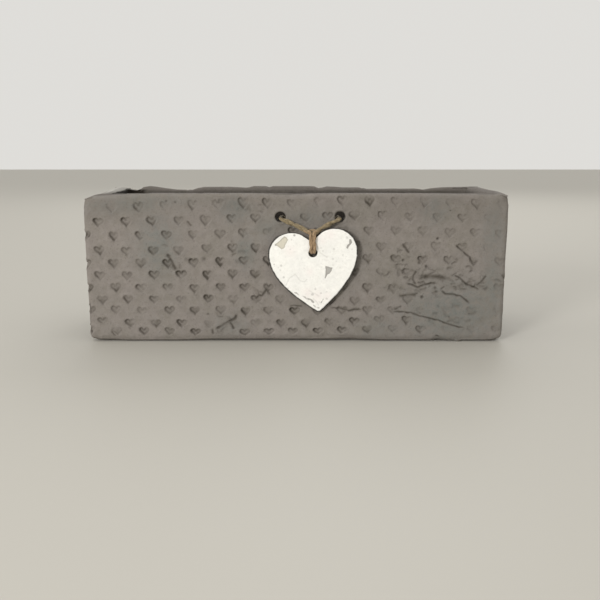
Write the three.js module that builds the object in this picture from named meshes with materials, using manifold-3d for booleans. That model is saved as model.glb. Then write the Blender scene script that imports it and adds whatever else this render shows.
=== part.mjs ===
// A cast cement planting trough with a twine loop through two holes in its front wall,
// and a whitewashed heart tag hitched to the loop. Millimetres, +Z up, front towards -Y,
// origin at the middle of the base.
import * as THREE from "three";
import { mergeVertices } from "three/addons/utils/BufferGeometryUtils.js";
import Module from "manifold-3d";

const wasm = await Module();
wasm.setup();

// Trough
const rimLength = 300;
const rimDepth = 110;
const baseLength = 300;
const baseDepth = 106;
const troughHeight = 107;
const wallThickness = 13;
const floorThickness = 12;
const outerCornerRadius = 6;
const innerCornerRadius = 7;
const rimRounding = 2.5;
const baseRounding = 5;
const cavityFloorRounding = 6;

// Twine holes in the front wall
const twineHoleDiameter = 7.6;
const twineHoleMiddle = 10;
const twineHoleSpacing = 42;
const twineHoleBelowRim = 16;
const twineOffHoleMiddle = 0.5;

// Hearts pressed into all four walls, in rows whose hearts stand over the gaps of the row below.
// The rows are counted from the base, and each step up to the next is a little taller.
const heartWidth = 7.5;
const heartHeight = 7.6;
const heartPressDepth = 1.2;
const heartPitch = 18.4;
const heartRowShifts = [-1.5, 7.5];
const lowestHeartRow = 7.2;
const heartRowStep = 7.65;
const heartRowGrowth = 0.31;
const heartMargin = 0.5;

// The stamped rows wander on the front wall: sideways in a wave, and upwards in one long swell
const heartDrift = 3.2;
const heartDriftStart = -11;
const heartDriftWave = 205;
const heartSwell = 3.8;
const heartSwellMiddle = 55;
const heartSwellWidth = 95;
const heartSwellFrom = 38;
const heartSwellFull = 58;

// Twine
const twineDiameter = 3;
const hitchTwineDiameter = 2.4;
const hitchKnotDiameter = 5.8;
const backKnotDiameter = 8;
const backKnotBelowTwine = 11.6;

// Heart tag, measured from the centre of its hole
const tagThickness = 2.6;
const tagHoleDiameter = 6;
const tagHoleAboveBase = 65.9;
const tagHoleSideways = 11.9;
const tagLobeRadius = 16;
const tagLobeSideways = 15;
const tagNotchAboveHole = 8.4;
const tagTipBelowHole = 43.4;
const tagTipHalfWidth = 0.9;
const tagTipCut = 0.72;
const tagLobeStart = THREE.MathUtils.degToRad(120);
const tagEdgeRounding = 0.4;
const tagTilt = THREE.MathUtils.degToRad(5.8);
const hitchKnotAboveHole = 13.8;
const hitchKnotForward = 1;
const hitchKnotSideways = 1;

// The handles of the heart's side curves, as shares of the drop to its tip and of its half width
const tagShoulderDrop = 0.33;
const tagHipDrop = 0.63;
const tagHipWidth = 0.65;

// Clearance between pieces that touch
const gap = 0.3;

// Facets
const cornerFacets = 6;
const roundingFacets = 4;
const holeFacets = 32;
const cordFacets = 8;
const ballFacets = 20;

const cement = material("cement", 0x87807a, 0.95);
const jute = material("jute", 0x9a8468, 0.9);
const whitewash = material("whitewash", 0xf4f1e9, 0.7);

function material(name, color, roughness) {
  const made = new THREE.MeshStandardMaterial({ color, roughness, metalness: 0 });
  made.name = name;
  return made;
}

// A closed three.js geometry as a solid for joining and cutting
function solidOf(geometry) {
  const bare = geometry.index ? geometry.toNonIndexed() : geometry.clone();
  bare.deleteAttribute("normal");
  bare.deleteAttribute("uv");
  const merged = mergeVertices(bare, 1e-4);
  const mesh = new wasm.Mesh({
    numProp: 3,
    vertProperties: merged.attributes.position.array,
    triVerts: new Uint32Array(merged.index.array),
  });
  return new wasm.Manifold(mesh);
}

function geometryOf(solid) {
  const mesh = solid.getMesh();
  const geometry = new THREE.BufferGeometry();
  geometry.setAttribute("position", new THREE.BufferAttribute(mesh.vertProperties, 3));
  geometry.setIndex(new THREE.BufferAttribute(mesh.triVerts, 1));
  geometry.computeVertexNormals();
  return geometry;
}

function piece(name, geometry, finish, parent) {
  const mesh = new THREE.Mesh(geometry, finish);
  mesh.name = name;
  parent.add(mesh);
  return mesh;
}

// One horizontal outline of the trough: a rectangle with round corners
function roundedRectangle(length, depth, radius) {
  const x = length / 2 - radius;
  const y = depth / 2 - radius;
  const corners = [
    [x, y],
    [-x, y],
    [-x, -y],
    [x, -y],
  ];
  const points = [];
  corners.forEach(([cx, cy], quarter) => {
    for (let i = 0; i <= cornerFacets; i += 1) {
      const angle = (quarter + i / cornerFacets) * (Math.PI / 2);
      points.push([cx + radius * Math.cos(angle), cy + radius * Math.sin(angle)]);
    }
  });
  return points;
}

// A block lofted through horizontal outlines, lowest first, closed by a flat lid at each end
function loftedBlock(levels) {
  const positions = [];
  const triangles = [];
  const rings = levels.map(({ z, length, depth, radius }) => {
    const start = positions.length / 3;
    const outline = roundedRectangle(length, depth, radius);
    outline.forEach(([x, y]) => positions.push(x, y, z));
    return { start, count: outline.length, z };
  });
  const around = rings[0].count;
  for (let k = 0; k + 1 < rings.length; k += 1) {
    for (let i = 0; i < around; i += 1) {
      const a = rings[k].start + i;
      const b = rings[k].start + ((i + 1) % around);
      const c = rings[k + 1].start + i;
      const d = rings[k + 1].start + ((i + 1) % around);
      triangles.push(a, b, d, a, d, c);
    }
  }
  const bottom = positions.length / 3;
  positions.push(0, 0, rings[0].z);
  const top = bottom + 1;
  positions.push(0, 0, rings[rings.length - 1].z);
  const last = rings[rings.length - 1].start;
  for (let i = 0; i < around; i += 1) {
    const next = (i + 1) % around;
    triangles.push(bottom, rings[0].start + next, rings[0].start + i);
    triangles.push(top, last + i, last + next);
  }
  const geometry = new THREE.BufferGeometry();
  geometry.setAttribute("position", new THREE.Float32BufferAttribute(positions, 3));
  geometry.setIndex(triangles);
  return geometry;
}

// The outline of the trough at a height, drawn in by an inset on every side
function outlineAt(z, inset, cornerRadius) {
  const share = z / troughHeight;
  return {
    z,
    length: THREE.MathUtils.lerp(baseLength, rimLength, share) - 2 * inset,
    depth: THREE.MathUtils.lerp(baseDepth, rimDepth, share) - 2 * inset,
    radius: cornerRadius,
  };
}

// Where the front wall's two faces stand at a height
function frontFaceY(z) {
  return -outlineAt(z, 0, outerCornerRadius).depth / 2;
}

function innerFaceY(z) {
  return frontFaceY(z) + wallThickness;
}

function outerBlock() {
  const levels = [];
  for (let i = 0; i <= roundingFacets; i += 1) {
    const angle = ((i / roundingFacets) * Math.PI) / 2;
    const inset = baseRounding * (1 - Math.sin(angle));
    const z = baseRounding * (1 - Math.cos(angle));
    levels.push(outlineAt(z, inset, outerCornerRadius - inset));
  }
  for (let i = 0; i <= roundingFacets; i += 1) {
    const angle = ((i / roundingFacets) * Math.PI) / 2;
    const inset = rimRounding * (1 - Math.cos(angle));
    const z = troughHeight - rimRounding * (1 - Math.sin(angle));
    levels.push(outlineAt(z, inset, outerCornerRadius - inset));
  }
  return loftedBlock(levels);
}

function plantingCavity() {
  const levels = [];
  for (let i = 0; i <= roundingFacets; i += 1) {
    const angle = ((i / roundingFacets) * Math.PI) / 2;
    const inset = cavityFloorRounding * (1 - Math.sin(angle));
    const z = floorThickness + cavityFloorRounding * (1 - Math.cos(angle));
    levels.push(outlineAt(z, wallThickness + inset, innerCornerRadius - inset));
  }
  for (let i = 0; i <= roundingFacets; i += 1) {
    const angle = ((i / roundingFacets) * Math.PI) / 2;
    const flare = rimRounding * (1 - Math.cos(angle));
    const z = troughHeight - rimRounding * (1 - Math.sin(angle));
    levels.push(outlineAt(z, wallThickness - flare, innerCornerRadius + flare));
  }
  const mouth = levels[levels.length - 1];
  levels.push({ ...mouth, z: troughHeight + rimRounding });
  return loftedBlock(levels);
}

const twineHoleZ = troughHeight - twineHoleBelowRim;
const twineHoleXs = [-1, 1].map((side) => twineHoleMiddle + (side * twineHoleSpacing) / 2);

function twineHole(x) {
  const radius = twineHoleDiameter / 2;
  const hole = new THREE.CylinderGeometry(radius, radius, 2 * wallThickness, holeFacets);
  return hole.translate(x, frontFaceY(twineHoleZ) + wallThickness / 2, twineHoleZ);
}

// The four walls: the turn from the front wall, the length and how far out it stands at the
// base, and how far it leans outwards
const wallLean = Math.atan((rimDepth - baseDepth) / 2 / troughHeight);
const endLean = Math.atan((rimLength - baseLength) / 2 / troughHeight);
const longWall = { length: baseLength, out: baseDepth / 2, lean: wallLean };
const endWall = { length: baseDepth, out: baseLength / 2, lean: endLean };
const walls = [
  { ...longWall, turn: 0, holeXs: twineHoleXs, wander: 1 },
  { ...endWall, turn: Math.PI / 2, holeXs: [], wander: 0 },
  { ...longWall, turn: Math.PI, holeXs: [], wander: 0 },
  { ...endWall, turn: -Math.PI / 2, holeXs: [], wander: 0 },
];

// The heights of the rows of hearts, lowest first, as many as fit under the rounded rim
const highestHeart = troughHeight - rimRounding - heartMargin - heartHeight / 2;
const heartRows = [];
for (let z = lowestHeartRow; z <= highestHeart; ) {
  heartRows.push(z);
  z += heartRowStep + (heartRows.length - 1) * heartRowGrowth;
}

// How far a row has wandered at a place along the wall
function driftAt(x) {
  const wave = Math.sin((2 * Math.PI * (x - heartDriftStart)) / heartDriftWave);
  return -heartDrift * wave * (1 - (x / (rimLength / 2)) ** 2);
}

function swellAt(x, z) {
  const swell = heartSwell * Math.exp(-(((x - heartSwellMiddle) / heartSwellWidth) ** 2));
  return swell * THREE.MathUtils.clamp((z - heartSwellFrom) / (heartSwellFull - heartSwellFrom), 0, 1);
}

// The hearts' middles on one wall, clear of its round corners and of the twine holes
function heartPlaces(wall) {
  const reach = wall.length / 2 - outerCornerRadius - heartWidth / 2 - heartMargin;
  const clearOfHole = twineHoleDiameter / 2 + heartWidth / 2 + heartMargin;
  const columns = Math.ceil(wall.length / 2 / heartPitch) + 1;
  const places = [];
  heartRows.forEach((row, k) => {
    for (let n = -columns; n <= columns; n += 1) {
      const even = heartRowShifts[k % 2] + n * heartPitch;
      const x = even + wall.wander * driftAt(even);
      const z = Math.min(row + wall.wander * swellAt(even, row), highestHeart);
      const onHole = wall.holeXs.some((holeX) => Math.hypot(x - holeX, z - twineHoleZ) < clearOfHole);
      if (Math.abs(x) <= reach && !onHole) places.push([x, z]);
    }
  });
  return places;
}

// The pressed hearts of one wall as one cutter. Each is a shallow point on a heart's outline, as
// few faces as show a heart, and starts outside the wall so that it cuts cleanly.
function heartCutter(wall) {
  const outline = [
    [0, -0.5],
    [0.5, 0.2],
    [0.26, 0.5],
    [0, 0.22],
    [-0.26, 0.5],
    [-0.5, 0.2],
  ];
  const deepest = [-0.1 * heartWidth, 0];
  const outside = heartPressDepth / 2;
  const spread = 1 + outside / heartPressDepth;
  const positions = [];
  const triangles = [];
  heartPlaces(wall).forEach(([x, z]) => {
    const start = positions.length / 3;
    outline.forEach(([across, up]) => {
      const px = deepest[0] + (across * heartWidth - deepest[0]) * spread;
      const pz = deepest[1] + (up * heartHeight - deepest[1]) * spread;
      positions.push(x + px, z + pz, outside);
    });
    const point = start + outline.length;
    positions.push(x + deepest[0], z + deepest[1], -heartPressDepth);
    for (let i = 0; i < outline.length; i += 1) {
      triangles.push(start + i, point, start + ((i + 1) % outline.length));
    }
    for (let i = 1; i + 1 < outline.length; i += 1) {
      triangles.push(start, start + i, start + i + 1);
    }
  });
  const geometry = new THREE.BufferGeometry();
  geometry.setAttribute("position", new THREE.Float32BufferAttribute(positions, 3));
  geometry.setIndex(triangles);
  geometry.rotateX(Math.PI / 2 + wall.lean);
  geometry.translate(0, -wall.out, 0);
  return geometry.rotateZ(wall.turn);
}

function buildTrough(parent) {
  let solid = solidOf(outerBlock()).subtract(solidOf(plantingCavity()));
  walls.forEach((wall) => {
    solid = solid.subtract(solidOf(heartCutter(wall)));
  });
  twineHoleXs.forEach((x) => {
    solid = solid.subtract(solidOf(twineHole(x)));
  });
  piece("trough", geometryOf(solid), cement, parent);
}

// A length of twine along a list of points, with flat ends
function twineTube(points, diameter, steps) {
  const section = new THREE.Shape();
  for (let i = 0; i < cordFacets; i += 1) {
    const angle = ((i + 0.5) / cordFacets) * 2 * Math.PI;
    const x = (diameter / 2) * Math.cos(angle);
    const y = (diameter / 2) * Math.sin(angle);
    if (i === 0) section.moveTo(x, y);
    else section.lineTo(x, y);
  }
  section.closePath();
  const route = new THREE.CatmullRomCurve3(points.map((p) => new THREE.Vector3(...p)));
  return new THREE.ExtrudeGeometry(section, { steps, extrudePath: route, bevelEnabled: false });
}

function ball(diameter, centre) {
  const sphere = new THREE.SphereGeometry(diameter / 2, ballFacets, ballFacets / 2);
  return sphere.translate(...centre);
}

// The twine lies on the lower edge of each hole, a clearance off it
const twineZ = twineHoleZ - (twineHoleDiameter - twineDiameter) / 2 + 2 * gap;
const mouthY = frontFaceY(twineZ) - gap - twineDiameter / 2;
const returnXs = [twineHoleXs[0] + twineOffHoleMiddle, twineHoleXs[1] - twineOffHoleMiddle];

// The heart tag leans on the trough: its tip rests on the wall, and its top is held off by the
// two strands of the hitch behind it
const tagTipZ = tagHoleAboveBase - tagTipBelowHole;
const holeStandOff = hitchTwineDiameter + 2.5 * gap;
const tagLean = wallLean + Math.atan((holeStandOff - gap) / tagTipBelowHole);
const tagHoleY = frontFaceY(tagHoleAboveBase) - holeStandOff - tagThickness / 2;

const tagFrame = new THREE.Group();
tagFrame.position.set(tagHoleSideways, tagHoleY, tagHoleAboveBase);
tagFrame.rotation.set(tagLean, -tagTilt, 0);
tagFrame.updateMatrixWorld();
const hitchPlace = new THREE.Vector3(hitchKnotSideways, -hitchKnotForward, hitchKnotAboveHole);
const hitchCentre = tagFrame.localToWorld(hitchPlace.clone());

// The heart with its hole: from the notch round one lobe, down a curve to the tip, and back up
// the other side
function heartOutline() {
  const shape = new THREE.Shape();
  shape.moveTo(0, tagNotchAboveHole);
  shape.lineTo(
    tagLobeSideways + tagLobeRadius * Math.cos(tagLobeStart),
    tagLobeRadius * Math.sin(tagLobeStart),
  );
  shape.absarc(tagLobeSideways, 0, tagLobeRadius, tagLobeStart, 0, true);
  const wide = tagLobeSideways + tagLobeRadius;
  const shoulder = tagShoulderDrop * tagTipBelowHole;
  const hip = tagHipDrop * tagTipBelowHole;
  const hipWide = tagHipWidth * wide;
  const tip = tagTipCut - tagTipBelowHole;
  shape.bezierCurveTo(wide, -shoulder, hipWide, -hip, tagTipHalfWidth, tip);
  shape.lineTo(-tagTipHalfWidth, tip);
  shape.bezierCurveTo(-hipWide, -hip, -wide, -shoulder, -wide, 0);
  shape.absarc(-tagLobeSideways, 0, tagLobeRadius, Math.PI, Math.PI - tagLobeStart, true);
  shape.closePath();
  const hole = new THREE.Path();
  hole.absarc(0, 0, tagHoleDiameter / 2, 0, 2 * Math.PI, false);
  shape.holes.push(hole);
  return shape;
}

function buildHeartTag() {
  const geometry = new THREE.ExtrudeGeometry(heartOutline(), {
    depth: tagThickness - 2 * tagEdgeRounding,
    curveSegments: 18,
    bevelEnabled: true,
    bevelThickness: tagEdgeRounding,
    bevelSize: tagEdgeRounding,
    bevelOffset: -tagEdgeRounding,
    bevelSegments: 1,
  });
  geometry.translate(0, 0, tagEdgeRounding - tagThickness / 2);
  geometry.rotateX(Math.PI / 2);
  piece("heart_tag", geometry, whitewash, tagFrame);
}

// Each strand of the hitch comes down in front of the tag from the hitch's knot, passes through
// the upper part of the tag's hole, and goes up behind the tag and over its notch to the knot.
// Both lean sideways as far as the knot stands off the line above the hole.
function buildHitchStrand(name, side) {
  const apart = (side * (hitchTwineDiameter + gap)) / 2;
  const slant = hitchKnotSideways / hitchKnotAboveHole;
  const off = tagThickness / 2 + gap + hitchTwineDiameter / 2;
  const profile = [
    [-off, 10.5],
    [-off, 7],
    [-off, 3.2],
    [-0.85 * off, 1.5],
    [-0.5 * off, 0.8],
    [0, 0.6],
    [0.5 * off, 0.8],
    [0.85 * off, 1.5],
    [off, 3.2],
    [off, 7],
    [off, 10.6],
    [0.75 * off, 12.1],
  ];
  const points = profile.map(([y, z]) => [apart + slant * z, y, z]);
  piece(name, twineTube(points, hitchTwineDiameter, 24), jute, tagFrame);
}

// One arm of the twine's V: from a round end in the mouth of its hole to the hitch's knot
function buildArm(name, x, parent) {
  const mouth = new THREE.Vector3(x, mouthY, twineZ);
  const towards = hitchCentre.clone().sub(mouth);
  const reach = towards.length() - hitchKnotDiameter / 2 - gap;
  towards.normalize();
  const end = mouth.clone().addScaledVector(towards, reach);
  const tube = twineTube([mouth.toArray(), end.toArray()], twineDiameter, 4);
  const solid = solidOf(tube).add(solidOf(ball(twineDiameter, mouth.toArray())));
  piece(name, geometryOf(solid), jute, parent);
}

function buildHitchKnot(parent) {
  piece("hitch_knot", ball(hitchKnotDiameter, hitchCentre.toArray()), jute, parent);
}

// Inside the trough the twine runs from each hole to a knot that hangs by the front wall
const backKnotZ = twineZ - backKnotBelowTwine;
const backKnotY = innerFaceY(backKnotZ) + 1.5 * gap + backKnotDiameter / 2;
const backKnot = [twineHoleMiddle, backKnotY, backKnotZ];

function buildReturn(name, x, side, parent) {
  const inside = innerFaceY(twineZ);
  const points = [
    [x, frontFaceY(twineZ), twineZ],
    [x, frontFaceY(twineZ) + 5, twineZ],
    [x, inside - 0.8, twineZ],
    [x + side * 1.3, inside + 3.4, twineZ - 0.8],
    [x + side * 5.5, inside + 5.4, twineZ - 3.3],
    [x + side * 11.3, inside + 5, twineZ - 7.3],
    [x + side * 16.4, inside + 4.7, twineZ - 10.1],
  ];
  piece(name, twineTube(points, twineDiameter, 14), jute, parent);
}

function buildBackKnot(parent) {
  const [x, y, z] = backKnot;
  const tails = [
    [backKnot, [x - 2.6, y + 0.4, z - 7], [x - 4, y + 0.2, z - 16]],
    [backKnot, [x + 2.4, y + 0.6, z - 8], [x + 5.2, y + 0.8, z - 18]],
  ];
  let solid = solidOf(ball(backKnotDiameter, backKnot));
  tails.forEach((tail) => {
    solid = solid.add(solidOf(twineTube(tail, twineDiameter, 4)));
  });
  piece("twine_knot", geometryOf(solid), jute, parent);
}

const planter = new THREE.Group();
planter.name = "planter";
planter.add(tagFrame);

buildTrough(planter);
buildReturn("twine_left_run", returnXs[0], 1, planter);
buildReturn("twine_right_run", returnXs[1], -1, planter);
buildBackKnot(planter);
buildArm("twine_left_arm", returnXs[0], planter);
buildArm("twine_right_arm", returnXs[1], planter);
buildHitchKnot(planter);
buildHeartTag();
buildHitchStrand("hitch_left_strand", -1);
buildHitchStrand("hitch_right_strand", 1);

export default planter;
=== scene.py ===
"""The looks of a cement trough planter with a heart tag hung on jute twine.

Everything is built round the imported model, in metres, in its frame: +Z up, the front wall with
the tag towards -Y, the origin in the middle of the base. Names ending in _mm are millimetres.
"""

import math

import bpy
import numpy as np
from mathutils import Matrix, Vector


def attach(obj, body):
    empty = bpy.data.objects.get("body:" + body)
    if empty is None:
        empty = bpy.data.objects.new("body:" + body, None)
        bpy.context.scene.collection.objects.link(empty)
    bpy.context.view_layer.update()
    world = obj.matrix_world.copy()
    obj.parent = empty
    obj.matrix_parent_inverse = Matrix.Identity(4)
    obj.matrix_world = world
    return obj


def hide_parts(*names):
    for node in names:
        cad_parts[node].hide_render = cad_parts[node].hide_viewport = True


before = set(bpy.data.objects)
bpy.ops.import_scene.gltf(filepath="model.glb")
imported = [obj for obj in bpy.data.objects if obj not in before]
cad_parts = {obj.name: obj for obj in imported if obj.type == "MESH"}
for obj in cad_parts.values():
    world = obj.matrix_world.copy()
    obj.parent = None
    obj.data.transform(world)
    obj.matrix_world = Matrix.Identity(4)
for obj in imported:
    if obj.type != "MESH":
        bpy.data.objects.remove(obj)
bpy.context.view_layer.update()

MM = 0.001

# How fine the meshes are: the grain in mm, then the triangles that are kept
TROUGH_GRAIN, TAG_GRAIN = 0.55, 0.3
TROUGH_TRIANGLES, TAG_TRIANGLES = 190000, 70000

# Trough, mm
RIM_LENGTH, RIM_DEPTH = 300.0, 110.0
BASE_LENGTH, BASE_DEPTH = 300.0, 106.0
HEIGHT = 107.0
WALL = 13.0
FLOOR = 12.0
OUTER_CORNER, INNER_CORNER = 6.0, 7.0
RIM_ROUNDING, BASE_ROUNDING, FLOOR_ROUNDING = 2.5, 5.0, 6.0

# Twine holes, mm
HOLE_XS = (-11.0, 31.0)
HOLE_Z = 91.0
HOLE_DIAMETERS = (7.4, 7.2)

# Twine, mm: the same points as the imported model's routes
TWINE = 3.0
HITCH_TWINE = 2.4
TWINE_Z = 89.3
MOUTH_Y = -56.469
FRONT_Y = -54.669
INSIDE_Y = -41.669
MOUTH_XS = (-10.5, 30.5)
HITCH = (11.5, -60.842, 79.597)
HITCH_ABOVE_HOLE = 13.8
STRANDS_APART = 2.24
TWINE_GAP = 0.3
ROUTE_STEP = 0.35
BACK_KNOT = (10.0, -37.002, 77.7)

# Heart tag, mm, measured from the centre of its hole
TAG_HOLE = (11.9, -58.682, 65.9)
TAG_LEAN = math.radians(4.828)
TAG_TILT = math.radians(5.8)
TAG_THICKNESS = 2.6
TAG_EDGE_ROUNDING = 0.4
TAG_HOLE_DIAMETER = 6.0


# The photograph's camera, as fitted to the rim's corners and the base line
CAMERA_PLACE = (0.0028, -0.624, 0.141)
CAMERA_TILT = math.radians(79.09)
SENSOR_WIDTH, LENS = 36, 48.53


def set_camera():
    bpy.ops.object.camera_add(location=CAMERA_PLACE, rotation=(CAMERA_TILT, 0, 0))
    camera = bpy.context.object
    camera.name = "camera"
    camera.data.sensor_width = SENSOR_WIDTH
    camera.data.lens = LENS
    bpy.context.scene.camera = camera


# Small tools
def deselect_all():
    bpy.ops.object.select_all(action="DESELECT")


def take_up(piece):
    """Selects one piece alone and makes it the active one."""
    deselect_all()
    piece.select_set(True)
    bpy.context.view_layer.objects.active = piece


def settle(piece):
    """Puts a piece's place, turn and scale into its mesh."""
    take_up(piece)
    bpy.ops.object.transform_apply(location=True, rotation=True, scale=True)


def choose(piece, kind, wanted):
    """In edit mode, selects the faces or edges of a piece for which wanted says yes."""
    bpy.ops.mesh.select_mode(type=kind)
    bpy.ops.mesh.select_all(action="DESELECT")
    bpy.ops.object.mode_set(mode="OBJECT")
    mesh = piece.data
    points = [v.co / MM for v in mesh.vertices]
    if kind == "FACE":
        for face in mesh.polygons:
            face.select = wanted(face.center / MM, face.normal)
    else:
        for edge in mesh.edges:
            a, b = (points[i] for i in edge.vertices)
            edge.select = wanted(a, b)
    bpy.ops.object.mode_set(mode="EDIT")


def apply_modifier(piece, kind, **settings):
    take_up(piece)
    modifier = piece.modifiers.new(kind.lower(), kind)
    for name, value in settings.items():
        setattr(modifier, name, value)
    bpy.ops.object.modifier_apply(modifier=modifier.name)


def thin_out(piece, triangles):
    """Brings a mesh of quads down to about so many triangles, and shades it smooth."""
    share = min(1, triangles / (2 * len(piece.data.polygons)))
    apply_modifier(piece, "DECIMATE", decimate_type="COLLAPSE", ratio=share, use_collapse_triangulate=True)
    take_up(piece)
    bpy.ops.object.shade_smooth()


def smooth_step(t):
    t = np.clip(t, 0, 1)
    return t * t * (3 - 2 * t)


def bell(t):
    """One at zero, and falling off to nothing on both sides within about two."""
    return np.exp(-(t**2))


LATTICE = 32
lattice_values = np.random.default_rng(11).random((LATTICE, LATTICE, LATTICE))


def lumps(points, size, shift=0.0):
    """Smooth noise from -1 to 1 at points of mm, with lumps about one size apart."""
    at = points / size + shift
    cell = np.floor(at).astype(int)
    part = at - cell
    part = part * part * (3 - 2 * part)
    total = np.zeros(len(points))
    for corner in range(8):
        step = np.array([corner & 1, corner >> 1 & 1, corner >> 2 & 1])
        share = np.prod(np.where(step, part, 1 - part), axis=1)
        i, j, k = ((cell + step) % LATTICE).T
        total += share * lattice_values[i, j, k]
    return 2 * total - 1


def point_array(piece):
    """The points of a piece's mesh, in mm."""
    flat = np.zeros(len(piece.data.vertices) * 3, np.float32)
    piece.data.vertices.foreach_get("co", flat)
    return flat.reshape(-1, 3).astype(float) / MM


def set_points(piece, points):
    piece.data.vertices.foreach_set("co", (points * MM).astype(np.float32).ravel())
    piece.data.update()


def normal_array(piece):
    flat = np.zeros(len(piece.data.vertices) * 3, np.float32)
    piece.data.vertex_normals.foreach_get("vector", flat)
    return flat.reshape(-1, 3).astype(float)


def set_mask(piece, name, values):
    mask = piece.data.attributes.new(name, "FLOAT", "POINT")
    mask.data.foreach_set("value", values.astype(np.float32))


def distance_to_line(points, line):
    """For 2-D points: the distance to a line of points, the signed side, and the share along it."""
    best = np.full(len(points), 1e9)
    side = np.zeros(len(points))
    along = np.zeros(len(points))
    line = np.array(line, float)
    lengths = np.linalg.norm(np.diff(line, axis=0), axis=1)
    start = 0.0
    for a, b, length in zip(line[:-1], line[1:], lengths):
        step = (b - a) / length
        t = np.clip((points - a) @ step, 0, length)
        off = points - a - t[:, None] * step
        far = np.hypot(off[:, 0], off[:, 1])
        nearer = far < best
        best = np.where(nearer, far, best)
        cross = step[0] * (points[:, 1] - a[1]) - step[1] * (points[:, 0] - a[0])
        side = np.where(nearer, cross, side)
        along = np.where(nearer, (start + t) / lengths.sum(), along)
        start += length
    return best, side, along


def inside_line(points, line):
    """For 2-D points: whether each lies inside a closed line of points."""
    line = np.array(line, float)
    inside = np.zeros(len(points), bool)
    for a, b in zip(line, np.roll(line, -1, axis=0)):
        if a[1] == b[1]:
            continue
        crosses = (a[1] > points[:, 1]) != (b[1] > points[:, 1])
        at = a[0] + (points[:, 1] - a[1]) * (b[0] - a[0]) / (b[1] - a[1])
        inside ^= crosses & (points[:, 0] < at)
    return inside


# Jute twine, its routes and its lay
def smooth_route(points, step):
    """A smooth line through points of mm, with a point about every step."""
    points = np.array(points, float)
    ends = np.vstack([2 * points[0] - points[1], points, 2 * points[-1] - points[-2]])
    line = []
    for a, b, c, d in zip(ends[:-3], ends[1:-2], ends[2:-1], ends[3:]):
        count = max(2, int(np.linalg.norm(c - b) / step) + 1)
        t = np.linspace(0, 1, count, endpoint=False)[:, None]
        line.append(
            0.5 * (2 * b + (c - a) * t + (2 * a - 5 * b + 4 * c - d) * t**2 + (3 * b - a - 3 * c + d) * t**3)
        )
    return np.vstack([*line, points[-1:]])


def carried_frames(route):
    """Along a route: two directions square to it that turn as little as they can, and the distances."""
    ahead = np.gradient(route, axis=0)
    ahead /= np.linalg.norm(ahead, axis=1)[:, None]
    across = np.cross(ahead[0], (0, 0, 1))
    if np.linalg.norm(across) < 0.1:
        across = np.cross(ahead[0], (1, 0, 0))
    firsts = []
    for direction in ahead:
        across = across - direction * (across @ direction)
        across /= np.linalg.norm(across)
        firsts.append(across)
    firsts = np.array(firsts)
    distances = np.concatenate([[0], np.cumsum(np.linalg.norm(np.diff(route, axis=0), axis=1))])
    return firsts, np.cross(ahead, firsts), distances


def tube(centres, radii, sides, ridges=None):
    """A closed tube along centres: its points, its faces, and how far around and along each point is.

    radii has one number per ring, and ridges one factor per ring and side.
    """
    first, second, distances = carried_frames(centres)
    angles = np.arange(sides) * 2 * math.pi / sides
    spokes = first[:, None] * np.cos(angles)[None, :, None] + second[:, None] * np.sin(angles)[None, :, None]
    reach = radii[:, None] * (np.ones((len(centres), sides)) if ridges is None else ridges)
    rings = centres[:, None] + spokes * reach[..., None]
    points = np.vstack([rings.reshape(-1, 3), centres[:1], centres[-1:]])
    head, tail = len(points) - 2, len(points) - 1
    faces = []
    for k in range(len(centres) - 1):
        for i in range(sides):
            j = (i + 1) % sides
            faces.append((k * sides + i, k * sides + j, (k + 1) * sides + j, (k + 1) * sides + i))
    last = (len(centres) - 1) * sides
    for i in range(sides):
        j = (i + 1) % sides
        faces.append((head, j, i))
        faces.append((tail, last + i, last + j))
    around = np.concatenate([np.tile(np.arange(sides) / sides, len(centres)), [0, 0]])
    along = np.concatenate([np.repeat(distances, sides), distances[[0, -1]]])
    return points, faces, around, along


class Bundle:
    """Tubes gathered into one mesh, with what the jute material reads along and around each."""

    def __init__(self):
        self.points, self.faces, self.around, self.along, self.tone = [], [], [], [], []
        self.count = 0

    def add(self, shape, tone):
        points, faces, around, along = shape
        self.points.append(points)
        self.faces.extend(tuple(i + self.count for i in face) for face in faces)
        self.around.append(around)
        self.along.append(along)
        self.tone.append(np.full(len(points), tone))
        self.count += len(points)

    def made(self, name):
        mesh = bpy.data.meshes.new(name)
        mesh.from_pydata(np.vstack(self.points) * MM, [], self.faces)
        piece = bpy.data.objects.new(name, mesh)
        bpy.context.scene.collection.objects.link(piece)
        for name, parts in (("around", self.around), ("along", self.along), ("tone", self.tone)):
            set_mask(piece, f"strand_{name}", np.concatenate(parts))
        take_up(piece)
        bpy.ops.object.shade_smooth()
        return piece


# Loosely laid jute stands a little fuller than its stated size
LOOSE = 1.08
# Each ply's radius and its distance from the twine's middle, as shares of the twine's diameter
PLY_RADIUS, PLY_OFFSET = 0.35, 0.19
PLY_SIDES = 14
# How much of each end is drawn thinner, mm
END_LENGTH = 0.8


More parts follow.
